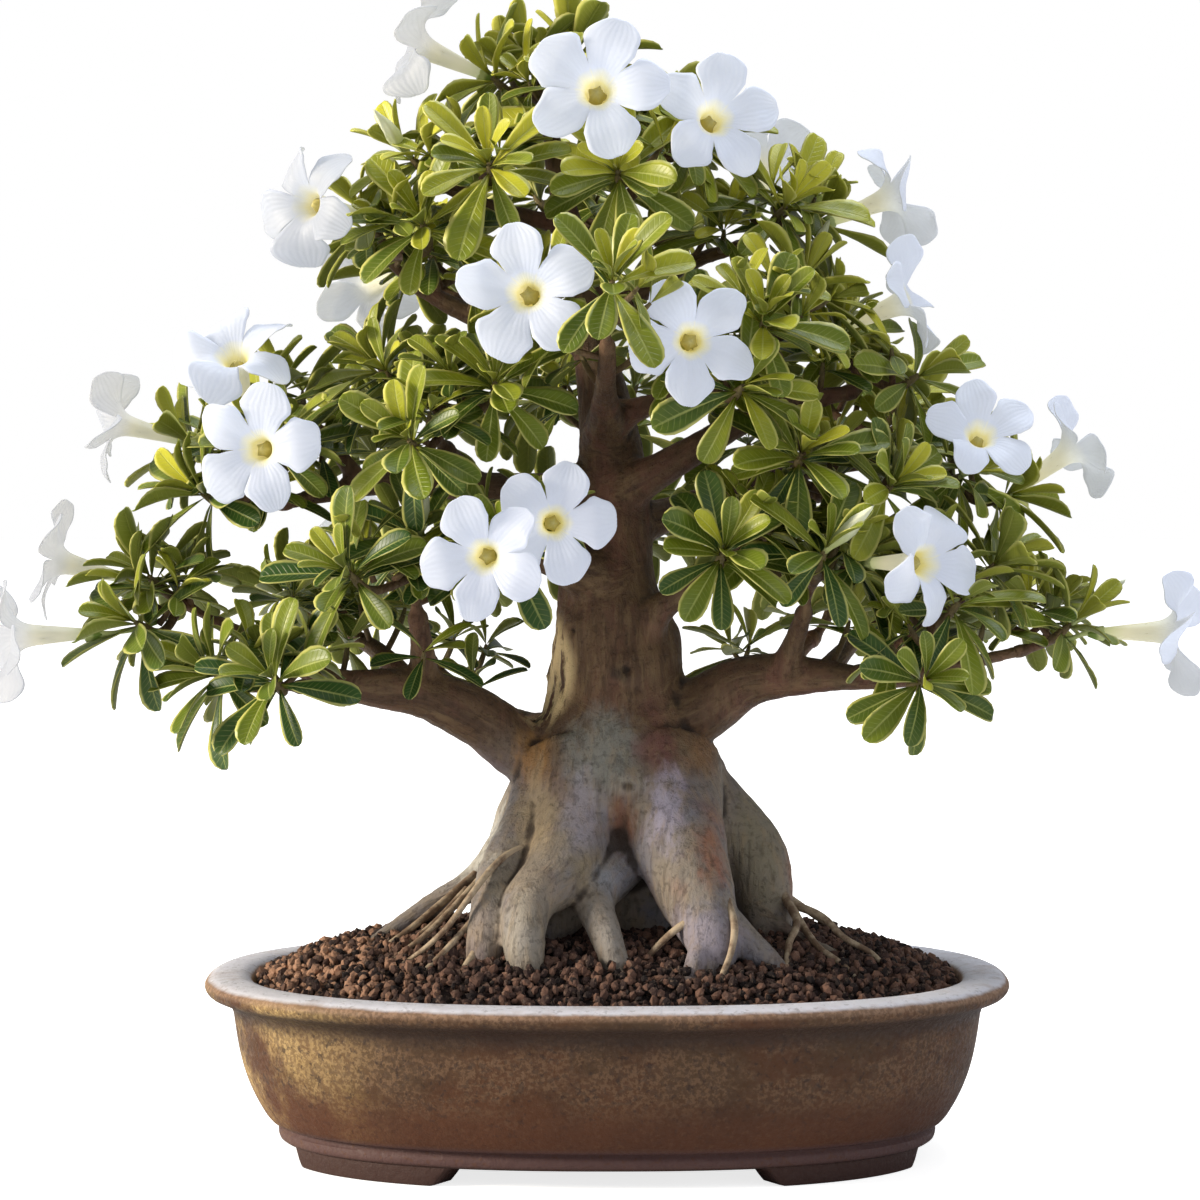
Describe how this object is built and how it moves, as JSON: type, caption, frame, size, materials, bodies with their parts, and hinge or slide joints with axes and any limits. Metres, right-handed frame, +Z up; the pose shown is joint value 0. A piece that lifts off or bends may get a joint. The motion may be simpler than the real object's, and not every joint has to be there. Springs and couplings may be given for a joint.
{
  "type": "potted desert rose adenium",
  "caption": "Desert rose grown as a bonsai: swollen trunk on exposed roots, leafy limbs and white trumpet flowers, in an oval stoneware pot on low feet.",
  "frame": {"origin": "on the surface the pot stands on, below the middle of the plant's box", "axes": "+Z up, +X along the pot's length to the viewer's right, -Y towards the viewer"},
  "size_m": [0.5798, 0.365, 0.5847],
  "materials": {
    "stoneware": "unglazed brown stoneware, matte, with mottled darker patches and a greyer worn rim",
    "soil": "dark red-brown lava and baked clay granules, rough",
    "screen": "dark plastic drainage mesh",
    "bark": "smooth grey-brown succulent bark, wrinkled at the forks, reddish and blue-grey patches on the roots",
    "leaf": "waxy green leaves with a pale midrib and rim, yellow-green at the top",
    "petal": "thin matte white petals round a yellow throat"
  },
  "bodies": {
    "root": {"flower_01": "petal", "flower_02": "petal", "flower_03": "petal", "flower_04": "petal", "flower_05": "petal", "flower_06": "petal", "flower_07": "petal", "flower_08": "petal", "flower_09": "petal", "flower_10": "petal", "flower_11": "petal", "flower_12": "petal", "flower_13": "petal", "flower_14": "petal", "flower_15": "petal", "flower_16": "petal", "flower_17": "petal", "flower_18": "petal", "flower_19": "petal", "flower_20": "petal", "flower_21": "petal", "flower_22": "petal", "flower_23": "petal", "pot": "stoneware", "screen_left": "screen", "screen_right": "screen", "soil": "soil", "spray_backLeftLow": "leaf", "spray_backLow": "leaf", "spray_backMid": "leaf", "spray_backRightLow": "leaf", "spray_backTop": "leaf", "spray_crown": "leaf", "spray_frontLeft": "leaf", "spray_frontMid": "leaf", "spray_frontRight": "leaf", "spray_leftLow": "leaf", "spray_leftLowBack": "leaf", "spray_leftLowFront": "leaf", "spray_leftLowUp": "leaf", "spray_leftMid": "leaf", "spray_leftMidBack": "leaf", "spray_leftMidFront": "leaf", "spray_leftMidUp": "leaf", "spray_leftTop": "leaf", "spray_leftTopBack": "leaf", "spray_rightLow": "leaf", "spray_rightLowBack": "leaf", "spray_rightLowFront": "leaf", "spray_rightLowTrunk": "leaf", "spray_rightLowUp": "leaf", "spray_rightMid": "leaf", "spray_rightMidBack": "leaf", "spray_rightMidFront": "leaf", "spray_rightMidHigh": "leaf", "spray_rightMidLow": "leaf", "spray_rightUpper": "leaf", "spray_topLeft": "leaf", "spray_topRight": "leaf", "trunk": "bark"}
  },
  "joints": []
}
